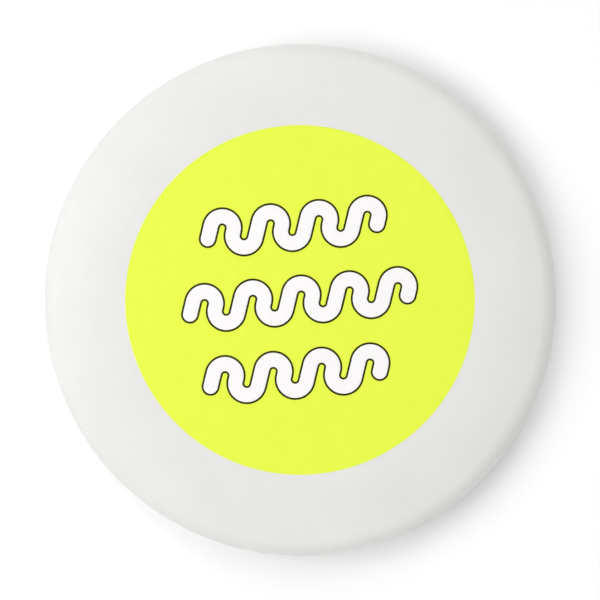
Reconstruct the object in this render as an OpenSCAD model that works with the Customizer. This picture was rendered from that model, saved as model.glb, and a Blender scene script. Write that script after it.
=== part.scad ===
// Flying disc: one moulded shell that carries a printed label on its flat top.
// Millimetres, +Z up. The origin is the centre of the ring that the disc rests on.

/* [Disc] */
// Diameter over the widest part of the rim
disc_d = 254; // [240:1:274]
// Height of the flat top above the resting ring
disc_h = 28; // [26:0.5:32]
// Thickness of the flight plate
plate_t = 1.5; // [1.4:0.1:1.9]
// Radius of the arc that falls from the flat top to the shoulder
dome_r = 142; // [125:1:170]
// Radius of the arc that falls from the plate's underside to the inner shoulder
inner_dome_r = 114; // [110:1:124]
// Radius of the rounded shoulder
shoulder_r = 9; // [8:0.5:11]

/* [Rim] */
// Wall thickness of the rim above the lip
rim_t = 2.4; // [2:0.1:2.8]
// Radius of the bowed outside of the rim, below the shoulder
rim_bow_r = 110; // [90:1:150]
// How far the lip stands in from the rim wall
lip_step = 3; // [2.6:0.1:3.4]
// Radius of both bends that lead from the rim wall to the lip
lip_bend_r = 3; // [2.6:0.1:3.4]
// Radius of the edge between the rim's outside and the resting ring
foot_outer_r = 1.6; // [1.2:0.1:1.8]
// Radius of the edge between the lip and the resting ring
foot_inner_r = 1.4; // [1:0.1:1.6]
// Height of the parting-line witness round the widest part of the rim
witness_h = 0.08; // [0.05:0.01:0.15]

/* [Flight rings] */
// Radius of the innermost flight ring
ring_first_r = 93.2; // [92:0.1:96]
// Distance from one flight ring to the next
ring_pitch = 1.63; // [1.4:0.01:2.5]
// Height of a flight ring above the dome
ring_h = 0.03; // [0.03:0.01:0.2]
// Radius of a ridge's rounded section
ridge_r = 0.7; // [0.4:0.05:0.8]
// Plain band between the last flight ring and the shoulder
ring_margin = 8; // [6:0.5:12]

/* [Underside] */
// Radius of the dimple round the gate
gate_dimple_r = 6.5; // [5:0.5:9]
// Depth of that dimple
gate_dimple_h = 0.4; // [0.2:0.1:0.6]
// Radius of the gate vestige
gate_r = 1.2; // [0.8:0.1:1.8]
// Radius of the circle that the mould's air poppet leaves
poppet_r = 21; // [14:1:30]
// Height of that circle
poppet_h = 0.12; // [0.08:0.01:0.2]

/* [Label] */
// Diameter of the printed field
label_d = 173.2; // [150:0.2:176]
// Plain band of flat top outside the printed field
label_margin = 1.7; // [0.5:0.1:2]
// Thickness of the field's ink film
field_t = 0.1; // [0.05:0.01:0.2]
// Thickness of the ink on top of the field
ink_t = 0.06; // [0.04:0.01:0.12]

/* [Waves] */
// Width of the white band of a wave
wave_w = 7; // [5:0.1:8]
// Width of the dark outline on each side of that band
outline_w = 1; // [0.4:0.1:1.2]
// Distance between neighbouring legs of a wave
leg_pitch = 11.4; // [11:0.1:12]
// How far each leg stands past the one before it, which makes the wave lean
leg_rise = 3.8; // [0:0.2:4.4]
// Distance along the legs from the upper half-waves' centres to the lower ones'
wave_span = 5.2; // [5:0.2:8]
// Distance from one wave row to the next
wave_row = 36.5; // [33:0.5:40]
// Half-waves in the upper and lower rows
wave_short = 7; // [5:2:7]
// Half-waves in the middle row
wave_long = 9; // [7:2:9]
// How far the lower row stands to the left of the others
wave_shift = 5; // [0:0.5:8]
// Angle by which the rows climb to the right
wave_tilt = 5; // [0:1:15]

/* [Hidden] */
$fn = 192;

margin = 1; // overshoot of every cutting shape
merge = 0.002; // how far an arc's disc stands past the next one, so that the two outlines cross

// Each arc of the section is tangent to the next, so the centres follow from the radii.
// Outside, from the flat top to the resting ring: dome, shoulder, bow and edge.
disc_r = disc_d / 2;
flat_r = label_d / 2 + label_margin;
dome_c = [flat_r, disc_h - dome_r];
dome_run = disc_r - shoulder_r - flat_r;
shoulder_c = dome_c + [dome_run, leg(dome_r - shoulder_r, dome_run)];
bow_c = [disc_r - rim_bow_r, shoulder_c[1]];
edge_drop = shoulder_c[1] - foot_outer_r;
edge_c = bow_c + [leg(rim_bow_r - foot_outer_r, edge_drop), -edge_drop];

// Inside, from the plate's underside to the resting ring: dome, shoulder, two bends and the lip.
plate_under = disc_h - plate_t;
wall_r = disc_r - rim_t;
inner_shoulder_r = shoulder_r - rim_t;
inner_dome_c = [flat_r, plate_under - inner_dome_r];
inner_run = wall_r - inner_shoulder_r - flat_r;
inner_shoulder_c = inner_dome_c + [inner_run, leg(inner_dome_r - inner_shoulder_r, inner_run)];
lip_r = wall_r - lip_step;
upper_bend_c = [wall_r - lip_bend_r, inner_shoulder_c[1]];
bend_run = 2 * lip_bend_r - lip_step;
lower_bend_c = upper_bend_c + [bend_run, -leg(2 * lip_bend_r, bend_run)];
bend_mid = (upper_bend_c + lower_bend_c) / 2;

dome_end_r = flat_r + dome_run * dome_r / (dome_r - shoulder_r);
ring_count = floor((dome_end_r - ring_margin - ring_first_r) / ring_pitch) + 1;
print_z = disc_h + field_t;

// The other leg of a right-angled triangle
function leg(hypotenuse, other) = sqrt(pow(hypotenuse, 2) - pow(other, 2));

// The point twice a circle's radius from its centre, in the direction of another point
function beyond(centre, r, towards) = centre + 2 * r * (towards - centre) / norm(towards - centre);

// A low rounded ridge of the given height, standing off a surface at a point
module ridge(point, away, height) {
    translate(point + (height - ridge_r) * away) circle(ridge_r);
}

module outer_section() {
    intersection() {
        union() {
            square([flat_r, disc_h]);
            intersection() {
                translate(dome_c) circle(dome_r);
                polygon([
                    [0, 0], [shoulder_c[0], 0], shoulder_c,
                    beyond(dome_c, dome_r, shoulder_c), [0, disc_h + margin],
                ]);
            }
            translate(shoulder_c) circle(shoulder_r + merge);
            intersection() {
                translate(bow_c) circle(rim_bow_r);
                polygon([
                    [bow_c[0], 0], [edge_c[0], 0], edge_c, beyond(bow_c, rim_bow_r, edge_c),
                    [disc_d, bow_c[1]], bow_c,
                ]);
            }
            translate(edge_c) circle(foot_outer_r + merge);
        }
        square([disc_r + margin, disc_h + margin]);
    }
}

module cavity_section() {
    difference() {
        union() {
            translate([0, -margin]) square([flat_r, plate_under + margin]);
            intersection() {
                translate(inner_dome_c) circle(inner_dome_r);
                polygon([
                    [0, -margin], [inner_shoulder_c[0], -margin], inner_shoulder_c,
                    beyond(inner_dome_c, inner_dome_r, inner_shoulder_c), [0, disc_h],
                ]);
            }
            intersection() {
                translate(inner_shoulder_c) circle(inner_shoulder_r + merge);
                translate([0, inner_shoulder_c[1]]) square([disc_r, disc_h]);
            }
            translate(upper_bend_c) circle(lip_bend_r + 2 * merge);
            polygon([
                [0, -margin], [lip_r, -margin], [lip_r, lower_bend_c[1]], bend_mid,
                upper_bend_c, [0, upper_bend_c[1]],
            ]);
        }
        translate(lower_bend_c) circle(lip_bend_r);
    }
    // Rounds the lip's lower edge
    difference() {
        translate([lip_r - margin, -margin]) square(foot_inner_r + margin);
        translate([lip_r + foot_inner_r, foot_inner_r]) circle(foot_inner_r);
    }
}

// The flight rings stand square to the dome, at even steps of radius
module ring_sections() {
    for (k = [0 : ring_count - 1]) {
        a = asin((ring_first_r + k * ring_pitch - flat_r) / dome_r);
        ridge(dome_c + dome_r * [sin(a), cos(a)], [sin(a), cos(a)], ring_h);
    }
}

module disc_shell() {
    color([0.94, 0.94, 0.93]) rotate_extrude() {
        difference() {
            outer_section();
            cavity_section();
            translate([0, plate_under - margin]) square([gate_dimple_r, margin + gate_dimple_h]);
        }
        ring_sections();
        ridge([poppet_r, plate_under], [0, -1], poppet_h);
        ridge([disc_r, shoulder_c[1]], [1, 0], witness_h);
        translate([0, plate_under]) square([gate_r, gate_dimple_h + plate_t / 2]);
    }
}

module label_field() {
    color([0.92, 0.99, 0.29]) translate([0, 0, disc_h]) cylinder(d = label_d, h = field_t);
}

// 1 for the half-waves that turn up and the legs that rise to them, -1 for the others
function side(k) = k % 2 == 0 ? 1 : -1;

// Half a ring that turns up where side is 1, and down where it is -1
module half_wave(side, width) {
    translate([0, side * wave_span / 2]) intersection() {
        difference() {
            circle((leg_pitch + width) / 2);
            circle((leg_pitch - width) / 2);
        }
        translate([-leg_pitch, side > 0 ? 0 : -leg_pitch]) square([2 * leg_pitch, leg_pitch]);
    }
}

// A row of half-waves joined by straight legs, with round ends. It is laid out with upright legs,
// each a step above the last, and then turned so that the row is level and the legs lean.
module wave(count, width) {
    step = [leg_pitch, leg_rise];
    rotate(-atan2(leg_rise, leg_pitch)) translate(-count / 2 * step) {
        for (k = [0 : count - 1])
            translate((k + 0.5) * step) half_wave(side(k), width);
        for (k = [0 : count]) {
            top = (wave_span + side(k) * leg_rise) / 2;
            bottom = k == 0 || k == count ? -wave_span / 2 : -top;
            translate(k * step + [-width / 2, bottom]) square([width, top - bottom]);
        }
        for (k = [0, count])
            translate(k * step + [0, -wave_span / 2]) circle(width / 2);
    }
}

// Puts a flat shape on the printed field, in a row's place
module on_row(place) {
    translate([0, 0, print_z]) rotate(wave_tilt) translate(place) linear_extrude(ink_t) children();
}

module wave_print(place, count) {
    color("white") on_row(place) wave(count, wave_w);
}

module wave_outline(place, count) {
    color([0.16, 0.16, 0.12]) on_row(place) difference() {
        wave(count, wave_w + 2 * outline_w);
        wave(count, wave_w);
    }
}

upper = [0, wave_row];
middle = [0, 0];
lower = [-wave_shift, -wave_row];

disc_shell();
label_field();
wave_print(upper, wave_short);  // upper_wave_print
wave_outline(upper, wave_short);  // upper_wave_outline
wave_print(middle, wave_long);  // middle_wave_print
wave_outline(middle, wave_long);  // middle_wave_outline
wave_print(lower, wave_short);  // lower_wave_print
wave_outline(lower, wave_short);  // lower_wave_outline
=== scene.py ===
import cmath
import math

import bmesh
import bpy
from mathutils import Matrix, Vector


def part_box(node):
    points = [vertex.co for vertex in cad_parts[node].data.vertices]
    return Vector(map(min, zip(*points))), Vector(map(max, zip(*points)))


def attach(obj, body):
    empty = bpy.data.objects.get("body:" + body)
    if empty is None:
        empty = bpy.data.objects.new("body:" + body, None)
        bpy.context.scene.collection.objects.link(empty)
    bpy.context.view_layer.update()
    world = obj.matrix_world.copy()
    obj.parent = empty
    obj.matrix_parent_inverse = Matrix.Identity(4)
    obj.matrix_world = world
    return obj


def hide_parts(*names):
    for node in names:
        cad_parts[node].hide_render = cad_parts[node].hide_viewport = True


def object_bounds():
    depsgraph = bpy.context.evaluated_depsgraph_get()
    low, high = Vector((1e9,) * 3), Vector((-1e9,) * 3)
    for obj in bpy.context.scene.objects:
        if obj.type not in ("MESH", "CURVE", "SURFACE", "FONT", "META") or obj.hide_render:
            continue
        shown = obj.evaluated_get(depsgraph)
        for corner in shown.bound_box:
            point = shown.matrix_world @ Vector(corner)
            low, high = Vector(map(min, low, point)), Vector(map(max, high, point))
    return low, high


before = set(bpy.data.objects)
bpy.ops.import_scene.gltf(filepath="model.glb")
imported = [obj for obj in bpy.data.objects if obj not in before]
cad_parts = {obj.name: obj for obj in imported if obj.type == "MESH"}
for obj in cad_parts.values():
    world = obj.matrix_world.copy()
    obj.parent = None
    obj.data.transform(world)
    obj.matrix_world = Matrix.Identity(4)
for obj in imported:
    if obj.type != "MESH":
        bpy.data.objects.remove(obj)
CAD_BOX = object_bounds()

MM = 0.001

# The moulding's section, as the CAD model has it. The ridges' widths are the visual model's own,
# as each is a smooth swell here and the cap of a small circle there.
PLATE_T = 1.5 * MM
DOME_R = 142 * MM
INNER_DOME_R = 114 * MM
SHOULDER_R = 9 * MM
LABEL_MARGIN = 1.7 * MM
RIM_T = 2.4 * MM
RIM_BOW_R = 110 * MM
LIP_STEP = 3 * MM
LIP_BEND_R = 3 * MM
FOOT_OUTER_R = 1.6 * MM
FOOT_INNER_R = 1.4 * MM
WITNESS_H = 0.08 * MM
WITNESS_W = 0.6 * MM
RING_FIRST_R = 93.2 * MM
RING_PITCH = 1.63 * MM
RING_COUNT = 12
RING_H = 0.03 * MM
RING_W = 1.1 * MM
GATE_DIMPLE_R = 6.5 * MM
GATE_DIMPLE_H = 0.4 * MM
GATE_R = 1.2 * MM
GATE_FILLET = 0.15 * MM
POPPET_R = 21 * MM
POPPET_H = 0.12 * MM
POPPET_W = 0.8 * MM

# The printed waves, as the CAD model has them
WAVE_W = 7 * MM
OUTLINE_W = 1.0 * MM
LEG_PITCH = 11.4 * MM
LEG_RISE = 3.8 * MM
WAVE_SPAN = 5.2 * MM
WAVE_ROW = 36.5 * MM
WAVE_SHIFT = 5 * MM
WAVE_TILT = math.radians(5)
WAVES = {
    "upper": (complex(0, WAVE_ROW), 7),
    "middle": (complex(0, 0), 9),
    "lower": (complex(-WAVE_SHIFT, -WAVE_ROW), 7),
}

# Fineness of the meshes
TURN_STEPS = 384
ARC_STEP = math.radians(5)
WELD = 0.001 * MM

# An ink film's softened upper edge
FILM_EDGE = 0.03 * MM
FILM_CORNER = 0.3 * FILM_EDGE

field_low, field_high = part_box("label_field")
shell_low, shell_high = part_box("disc_shell")
TOP_Z = field_low.z
PRINT_Z = field_high.z
INK_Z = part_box("middle_wave_print")[1].z
LABEL_R = field_high.x
DISC_R = shell_high.x - WITNESS_H
BASE_Z = shell_low.z


def leg(hypotenuse, other):
    """The other leg of a right-angled triangle."""
    return math.sqrt(hypotenuse ** 2 - other ** 2)


def arc(centre, radius, start, end, step=ARC_STEP):
    """Points of an arc from one angle to another, both ends included. Points are complex numbers."""
    count = max(1, math.ceil(abs(end - start) / step - 1e-6))
    return [centre + cmath.rect(radius, start + (end - start) * k / count) for k in range(count + 1)]


def line(a, b, count):
    """Points that divide the stretch from a to b, both ends included."""
    return [a + (b - a) * k / count for k in range(count + 1)]


def fillet(a, corner, b, radius):
    """Three points that round a right-angled corner of the section."""
    into = (corner - a) / abs(corner - a)
    out = (b - corner) / abs(b - corner)
    middle = corner + radius * (1 - math.sqrt(0.5)) * (out - into)
    return [corner - radius * into, middle, corner + radius * out]


def bump(distance, width):
    """A smooth rise from 0 to 1 and back over a width."""
    if abs(distance) >= width / 2:
        return 0.0
    return (1 + math.cos(2 * math.pi * distance / width)) / 2


def unique(points):
    """The points without those that repeat the one before."""
    kept = [points[0]]
    for p in points[1:]:
        if abs(p - kept[-1]) > WELD:
            kept.append(p)
    return kept


# ---------------------------------------------------------------- shapes


def outer_section():
    """The outside, from the axis over the dome, shoulder and rim down to the resting ring."""
    flat_r = LABEL_R + LABEL_MARGIN
    dome_c = complex(flat_r, TOP_Z - DOME_R)
    dome_run = DISC_R - SHOULDER_R - flat_r
    shoulder_c = dome_c + complex(dome_run, leg(DOME_R - SHOULDER_R, dome_run))
    dome_turn = math.asin(dome_run / (DOME_R - SHOULDER_R))

    points = line(complex(0, TOP_Z), complex(flat_r, TOP_Z), 6)

    stations = [0.0]
    ring_turns = [
        math.asin((RING_FIRST_R + k * RING_PITCH - flat_r) / DOME_R) for k in range(RING_COUNT)
    ]
    for turn in ring_turns:
        stations += [turn + share * RING_W / DOME_R for share in (-0.5, -0.36, -0.18, 0, 0.18, 0.36, 0.5)]
    last = stations[-1]
    stations += [last + (dome_turn - last) * share for share in (0.33, 0.67, 1)]
    for turn in stations:
        rise = RING_H * sum(bump((turn - ring) * DOME_R, RING_W) for ring in ring_turns)
        points.append(dome_c + cmath.rect(DOME_R + rise, math.pi / 2 - turn))

    # The witness stands on the widest part, so the shoulder and the bow both stop short of it
    points += arc(shoulder_c, SHOULDER_R, math.pi / 2 - dome_turn, math.radians(4))
    for share in (0.9, 0.5, 0.25, 0, -0.25, -0.5):
        turn = share * WITNESS_W
        rise = WITNESS_H * bump(turn, WITNESS_W)
        points.append(complex(DISC_R + rise, shoulder_c.imag + turn))
    bow_c = complex(DISC_R - RIM_BOW_R, shoulder_c.imag)
    edge_drop = shoulder_c.imag - BASE_Z - FOOT_OUTER_R
    edge_c = bow_c + complex(leg(RIM_BOW_R - FOOT_OUTER_R, edge_drop), -edge_drop)
    bow_turn = math.asin(edge_drop / (RIM_BOW_R - FOOT_OUTER_R))
    points += arc(bow_c, RIM_BOW_R, math.radians(-0.5), -bow_turn, math.radians(0.8))
    points += arc(edge_c, FOOT_OUTER_R, -bow_turn, -math.pi / 2, math.radians(12))
    return points


def inner_section():
    """The inside, from the resting ring up the lip and wall and along the plate to the axis."""
    flat_r = LABEL_R + LABEL_MARGIN
    under_z = TOP_Z - PLATE_T
    wall_r = DISC_R - RIM_T
    shoulder_r = SHOULDER_R - RIM_T
    dome_c = complex(flat_r, under_z - INNER_DOME_R)
    run = wall_r - shoulder_r - flat_r
    shoulder_c = dome_c + complex(run, leg(INNER_DOME_R - shoulder_r, run))
    dome_turn = math.asin(run / (INNER_DOME_R - shoulder_r))
    lip_r = wall_r - LIP_STEP
    upper_c = complex(wall_r - LIP_BEND_R, shoulder_c.imag)
    bend_run = 2 * LIP_BEND_R - LIP_STEP
    lower_c = upper_c + complex(bend_run, -leg(2 * LIP_BEND_R, bend_run))
    bend_turn = cmath.phase(lower_c - upper_c)

    foot_c = complex(lip_r + FOOT_INNER_R, BASE_Z + FOOT_INNER_R)
    points = arc(foot_c, FOOT_INNER_R, -math.pi / 2, -math.pi, math.radians(15))
    points += arc(lower_c, LIP_BEND_R, math.pi, math.pi + bend_turn, math.radians(8))
    points += arc(upper_c, LIP_BEND_R, bend_turn, 0, math.radians(8))
    points += arc(shoulder_c, shoulder_r, 0, math.pi / 2 - dome_turn, math.radians(6))
    points += arc(dome_c, INNER_DOME_R, math.pi / 2 - dome_turn, math.pi / 2, math.radians(1.5))

    points += line(complex(flat_r, under_z), complex(POPPET_R + POPPET_W, under_z), 4)
    for share in (0.5, 0.3, 0.15, 0, -0.15, -0.3, -0.5):
        drop = POPPET_H * bump(share * POPPET_W, POPPET_W)
        points.append(complex(POPPET_R + share * POPPET_W, under_z - drop))
    corners = [
        complex(POPPET_R - POPPET_W, under_z),
        complex(GATE_DIMPLE_R, under_z),
        complex(GATE_DIMPLE_R, under_z + GATE_DIMPLE_H),
        complex(GATE_R, under_z + GATE_DIMPLE_H),
        complex(GATE_R, under_z),
        complex(0, under_z),
    ]
    points.append(corners[0])
    for a, corner, b in zip(corners, corners[1:], corners[2:]):
        points += fillet(a, corner, b, GATE_FILLET)
    points.append(corners[-1])
    return points


def new_object(name, vertices, faces):
    """A smooth-shaded mesh object. Points that coincide are welded, and its faces look outwards."""
    mesh = bpy.data.meshes.new(name)
    mesh.from_pydata(vertices, [], faces)
    shape = bmesh.new()
    shape.from_mesh(mesh)
    bmesh.ops.remove_doubles(shape, verts=shape.verts, dist=WELD)
    bmesh.ops.recalc_face_normals(shape, faces=shape.faces)
    shape.to_mesh(mesh)
    shape.free()
    mesh.shade_smooth()
    obj = bpy.data.objects.new(name, mesh)
    bpy.context.scene.collection.objects.link(obj)
    return obj


def lathe(name, section):
    """Turns a section that starts and ends on the axis, listed from its top outwards, round the axis."""
    section = unique(section)
    ring = section[1:-1]
    vertices = [Vector((0, 0, section[0].imag)), Vector((0, 0, section[-1].imag))]
    for k in range(TURN_STEPS):
        way = cmath.rect(1, 2 * math.pi * k / TURN_STEPS)
        vertices += [Vector((p.real * way.real, p.real * way.imag, p.imag)) for p in ring]
    faces = []
    for k in range(TURN_STEPS):
        here = 2 + k * len(ring)
        there = 2 + (k + 1) % TURN_STEPS * len(ring)
        faces.append((0, here, there))
        faces.append((1, there + len(ring) - 1, here + len(ring) - 1))
        faces += [(here + i, here + i + 1, there + i + 1, there + i) for i in range(len(ring) - 1)]
    return new_object(name, vertices, faces)


def wave_path(count):
    """The centre line of a wave of so many half-waves, laid out with upright legs, and its directions."""
    up = 1j
    radius = LEG_PITCH / 2
    points = [(complex(0, -WAVE_SPAN / 2), up)]
    for k in range(count):
        side = 1 if k % 2 == 0 else -1
        centre = (k + 0.5) * complex(LEG_PITCH, LEG_RISE) + side * complex(0, WAVE_SPAN / 2)
        for p in arc(0, 1, math.pi, 0, math.radians(7.5)):
            spoke = complex(p.real, side * p.imag)
            points.append((centre + radius * spoke, -side * 1j * spoke))
    points.append((count * complex(LEG_PITCH, LEG_RISE) - complex(0, WAVE_SPAN / 2), -up))
    return points


def loop_round(path, distance):
    """The closed line at a distance from a path, with round ends."""
    half_turn = arc(0, 1, math.pi / 2, -math.pi / 2, math.radians(15))[1:-1]
    start, first = path[0]
    end, last = path[-1]
    points = [p + distance * 1j * d for p, d in path]
    points += [end + distance * last * turn for turn in half_turn]
    points += [p - distance * 1j * d for p, d in reversed(path)]
    points += [start - distance * first * turn for turn in half_turn]
    return points


def band(name, row, section, closed):
    """Sweeps a section round a wave. It is a list of distances from the centre line and heights."""
    place, count = WAVES[row]
    path = wave_path(count)
    lean = cmath.rect(1, -math.atan2(LEG_RISE, LEG_PITCH))
    tilt = cmath.rect(1, WAVE_TILT)
    middle = count / 2 * complex(LEG_PITCH, LEG_RISE)
    vertices = []
    for distance, height in section:
        for p in loop_round(path, distance):
            q = tilt * (place + lean * (p - middle))
            vertices.append(Vector((q.real, q.imag, height)))
    size = len(loop_round(path, 0))
    faces = []
    for i in range(len(section) if closed else len(section) - 1):
        here = i * size
        there = (i + 1) % len(section) * size
        faces += [
            (here + k, here + (k + 1) % size, there + (k + 1) % size, there + k) for k in range(size)
        ]
    return new_object(name, vertices, faces)


def film_edge(face, top, inwards):
    """The softened edge between a film's top and the face at a distance, from the top to the face."""
    return [
        (face + inwards * FILM_EDGE, top),
        (face + inwards * FILM_CORNER, top - FILM_CORNER),
        (face, top - FILM_EDGE),
    ]


def disc_shell():
    return lathe("disc_shell_moulding", outer_section() + inner_section())


def label_field():
    edge = [complex(r, z) for r, z in film_edge(LABEL_R, PRINT_Z, -1)]
    top = line(complex(0, PRINT_Z), complex(LABEL_R - 2 * FILM_EDGE, PRINT_Z), 8)
    return lathe("label_field_film", top + edge + [complex(LABEL_R, TOP_Z), complex(0, TOP_Z)])


def wave_print(row):
    half = WAVE_W / 2
    section = [(half * share, INK_Z) for share in (0, 0.25, 0.5, 0.75)]
    section += film_edge(half, INK_Z, -1)
    section += [(half, PRINT_Z), (0, PRINT_Z)]
    return band(f"{row}_wave_print_film", row, section, closed=False)


def wave_outline(row):
    inner = WAVE_W / 2
    outer = inner + OUTLINE_W
    section = [(inner, PRINT_Z)]
    section += reversed(film_edge(inner, INK_Z, 1))
    section += film_edge(outer, INK_Z, -1)
    section.append((outer, PRINT_Z))
    return band(f"{row}_wave_outline_film", row, section, closed=True)


# ---------------------------------------------------------------- materials


# A Mix node's sockets for colours, whose names its sockets for other values share
MIX_A, MIX_B, MIX_RESULT = 6, 7, 2


class Look:
    """A material and the few kinds of node that the disc's materials are made of."""

    def __init__(self, name):
        self.material = bpy.data.materials.new(name)
        self.material.use_nodes = True
        self.tree = self.material.node_tree
        self.shader = self.tree.nodes["Principled BSDF"]
        self.place = self.node("ShaderNodeTexCoord").outputs["Object"]

    def node(self, kind, **settings):
        made = self.tree.nodes.new(kind)
        for key, value in settings.items():
            setattr(made, key, value)
        return made

    def set(self, node, **inputs):
        """Sets inputs of a node by name, with _ for a space: a link from a socket, or a value."""
        for key, value in inputs.items():
            socket = node.inputs[key.replace("_", " ")]
            if isinstance(value, bpy.types.NodeSocket):
                self.tree.links.new(value, socket)
            else:
                socket.default_value = value

    def noise(self, size, detail=2.0, roughness=0.5):
        """Noise from about 0 to 1 whose blobs are about that many metres across."""
        made = self.node("ShaderNodeTexNoise")
        self.set(made, Vector=self.place, Scale=1 / size, Detail=detail, Roughness=roughness)
        return made.outputs["Fac"]

    def ranged(self, value, low, high, from_low=0.3, from_high=0.7):
        """A value from one range brought to another."""
        made = self.node("ShaderNodeMapRange")
        ends = {"From_Min": from_low, "From_Max": from_high, "To_Min": low, "To_Max": high}
        self.set(made, Value=value, **ends)
        return made.outputs["Result"]

    def mixed(self, factor, a, b):
        """A colour between two others."""
        made = self.node("ShaderNodeMix", data_type="RGBA")
        self.tree.links.new(factor, made.inputs["Factor"])
        made.inputs[MIX_A].default_value = (*a, 1)
        made.inputs[MIX_B].default_value = (*b, 1)
        return made.outputs[MIX_RESULT]

    def bumped(self, height, distance, normal=None):
        """A normal that follows a height, on top of another normal if there is one."""
        made = self.node("ShaderNodeBump")
        self.set(made, Height=height, Distance=distance)
        if normal is not None:
            self.set(made, Normal=normal)
        return made.outputs["Normal"]


def disc_white():
    """Satin moulded polyethylene: a fine spark-eroded grain, faint cloudy flow and a few rub marks."""
    look = Look("disc_white")
    cloud = look.ranged(look.noise(30 * MM, detail=3), 0, 1)
    colour = look.mixed(cloud, (0.736, 0.732, 0.714), (0.759, 0.756, 0.740))
    rubs = look.ranged(look.noise(9 * MM, detail=6, roughness=0.7), 0, 1, 0.45, 0.75)
    grain = look.noise(0.35 * MM, detail=2)
    peel = look.noise(2.4 * MM, detail=1)
    normal = look.bumped(grain, 0.012 * MM)
    normal = look.bumped(peel, 0.01 * MM, normal=normal)
    sheen = look.ranged(rubs, 0.44, 0.56, 0, 1)
    look.set(
        look.shader, Base_Color=colour, Roughness=sheen, IOR=1.51, Normal=normal,
        Subsurface_Weight=0.12, Subsurface_Scale=2.5 * MM, Subsurface_Radius=(1.0, 0.9, 0.7),
    )
    return look.material


def ink(name, light, dark, roughness, level=0.5):
    """A satin ink film: soft mottling where the film is thicker or thinner, and a fine grain."""
    look = Look(name)
    film = look.ranged(look.noise(6 * MM, detail=4, roughness=0.6), 0, 1)
    grain = look.noise(0.5 * MM, detail=2)
    colour = look.mixed(film, dark, light)
    normal = look.bumped(grain, 0.004 * MM)
    normal = look.bumped(look.noise(3 * MM, detail=1), 0.008 * MM, normal=normal)
    sheen = look.ranged(film, roughness + 0.05, roughness - 0.03, 0, 1)
    look.set(
        look.shader, Base_Color=colour, Roughness=sheen, IOR=1.48, Specular_IOR_Level=level,
        Normal=normal,
    )
    return look.material


def floor_paper():
    """Matt white studio paper, very faintly cloudy."""
    look = Look("floor_paper")
    tone = look.ranged(look.noise(60 * MM, detail=3), 0, 1)
    colour = look.mixed(tone, (0.965, 0.965, 0.965), (0.98, 0.98, 0.98))
    look.set(look.shader, Base_Color=colour, Roughness=0.9, IOR=1.3)
    return look.material


def dress(piece, material, node):
    """Gives a piece its material, ties it to the CAD body, and hides the CAD node that it stands for."""
    piece.data.materials.append(material)
    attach(piece, "root")
    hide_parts(node)


# ---------------------------------------------------------------- studio

# The picture: the share of its width that the disc takes, and the camera's lens and sensor
DISC_SHARE = 0.851
LENS = 400.0
SENSOR = 36.0

# The floor: its gap below the disc, its sides, the radii of its rings and its far edge's curl
FLOOR_GAP = 0.02 * MM
FLOOR_SIDES = 96
FLOOR_RINGS = (0.15, 0.3, 0.6, 1.2, 2.5, 4, 5.5, 7, 8, 9, 10, 11, 12, 13)
CURL_FROM_R = 7.0
CURL_RISE = 0.2

# The light tent: the steepness of view, from 0 level to 1 overhead, at which its foot's glow has
# faded, its top's glow sets in and its top's glow is full
FOOT_END, TOP_START, TOP_FULL = 0.35, 0.7, 0.95

# Where the wide lights stand, though only their direction counts
BANK_DISTANCE = 2.0


def floor():
    """A round floor whose far edge curls up a little, so that a low view doesn't look past it."""
    vertices = []
    for r in FLOOR_RINGS:
        share = max(0, r - CURL_FROM_R) / (FLOOR_RINGS[-1] - CURL_FROM_R)
        for k in range(FLOOR_SIDES):
            way = cmath.rect(r, 2 * math.pi * k / FLOOR_SIDES)
            vertices.append(Vector((way.real, way.imag, CURL_RISE * share ** 2)))
    vertices.append(Vector((0, 0, 0)))
    turns = [(k, (k + 1) % FLOOR_SIDES) for k in range(FLOOR_SIDES)]
    faces = [(len(vertices) - 1, k, after) for k, after in turns]
    for i in range(len(FLOOR_RINGS) - 1):
        here, there = i * FLOOR_SIDES, (i + 1) * FLOOR_SIDES
        faces += [(here + k, there + k, there + after, here + after) for k, after in turns]
    obj = new_object("studio_floor", vertices, faces)
    obj.location.z = CAD_BOX[0].z - FLOOR_GAP
    obj.data.materials.append(floor_paper())


def tent(foot, top):
    """A light tent that glows round the foot, and again overhead, where the camera looks in."""
    world = bpy.data.worlds.new("studio_tent")
    bpy.context.scene.world = world
    world.use_nodes = True
    tree = world.node_tree
    place = tree.nodes.new("ShaderNodeTexCoord")
    split = tree.nodes.new("ShaderNodeSeparateXYZ")
    glow = tree.nodes.new("ShaderNodeValToRGB")
    glow.color_ramp.interpolation = "EASE"
    stops = glow.color_ramp.elements
    stops.new(FOOT_END)
    stops.new(TOP_START)
    stops[-1].position = TOP_FULL
    for stop, strength in zip(stops, (foot, 0, 0, top)):
        stop.color = (strength, strength, strength, 1)
    tree.links.new(place.outputs["Generated"], split.inputs[0])
    tree.links.new(split.outputs["Z"], glow.inputs[0])
    tree.links.new(glow.outputs["Color"], tree.nodes["Background"].inputs["Color"])


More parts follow.
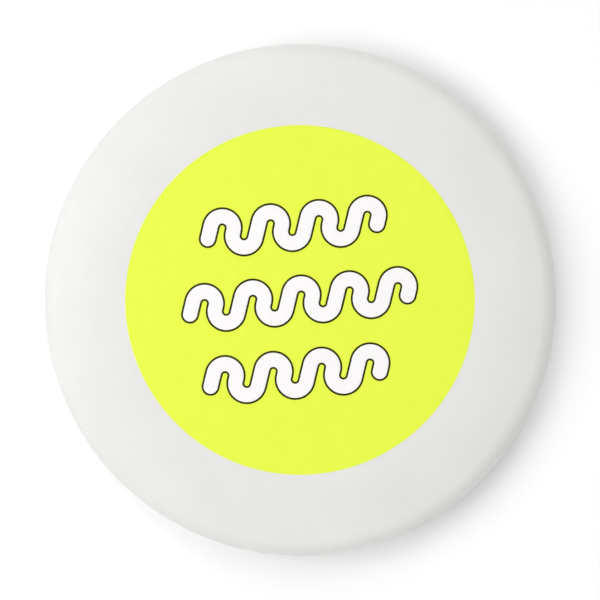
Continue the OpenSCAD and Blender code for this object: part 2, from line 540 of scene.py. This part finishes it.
def aim(light, azimuth, elevation, distance):
    """Puts a light so far from the disc, facing it. Azimuth 0 is the picture's right and 90 its top."""
    obj = bpy.data.objects.new(light.name, light)
    bpy.context.scene.collection.objects.link(obj)
    a, e = math.radians(azimuth), math.radians(elevation)
    way = Vector((math.cos(a) * math.cos(e), math.sin(a) * math.cos(e), math.sin(e)))
    obj.location = way * distance
    obj.rotation_mode = "QUATERNION"
    obj.rotation_quaternion = way.to_track_quat("Z", "Y")
    obj.visible_camera = False


def bank_light(name, azimuth, elevation, energy):
    """A very wide soft light that lights disc and floor evenly."""
    light = bpy.data.lights.new(name, "SUN")
    light.energy = energy
    light.angle = math.radians(45)
    aim(light, azimuth, elevation, BANK_DISTANCE)


def side_light():
    """A small softbox close on the left, which makes the left side a little brighter than the right."""
    light = bpy.data.lights.new("side", "AREA")
    light.shape = "SQUARE"
    light.size = 0.3
    light.energy = 0.18
    aim(light, 170, 50, 0.4)


def camera():
    data = bpy.data.cameras.new("camera")
    data.lens = LENS
    data.sensor_width = SENSOR
    data.clip_start = 0.1
    data.clip_end = 50
    obj = bpy.data.objects.new("camera", data)
    bpy.context.scene.collection.objects.link(obj)
    middle_z = (shell_low.z + shell_high.z) / 2
    frame_w = DISC_R * 2 / DISC_SHARE
    obj.location = (0, 0, middle_z + frame_w * LENS / SENSOR)
    bpy.context.scene.camera = obj


# ---------------------------------------------------------------- the picture

dress(disc_shell(), disc_white(), "disc_shell")
lime = ink("label_lime", (0.775, 0.910, 0.042), (0.755, 0.890, 0.036), 0.45)
dress(label_field(), lime, "label_field")
white = ink("ink_white", (0.910, 0.890, 0.890), (0.890, 0.870, 0.870), 0.45)
black = ink("ink_black", (0.027, 0.031, 0.001), (0.021, 0.026, 0.001), 0.4, level=0.1)
for row in WAVES:
    dress(wave_print(row), white, f"{row}_wave_print")
    dress(wave_outline(row), black, f"{row}_wave_outline")

floor()
tent(foot=1.58, top=0.95)
bank_light("left_bank", 180, 50, 1.01)
bank_light("upper_bank", 90, 45, 0.99)
bank_light("lower_bank", 270, 45, 0.74)
side_light()
camera()
bpy.context.scene.view_settings.view_transform = "Standard"
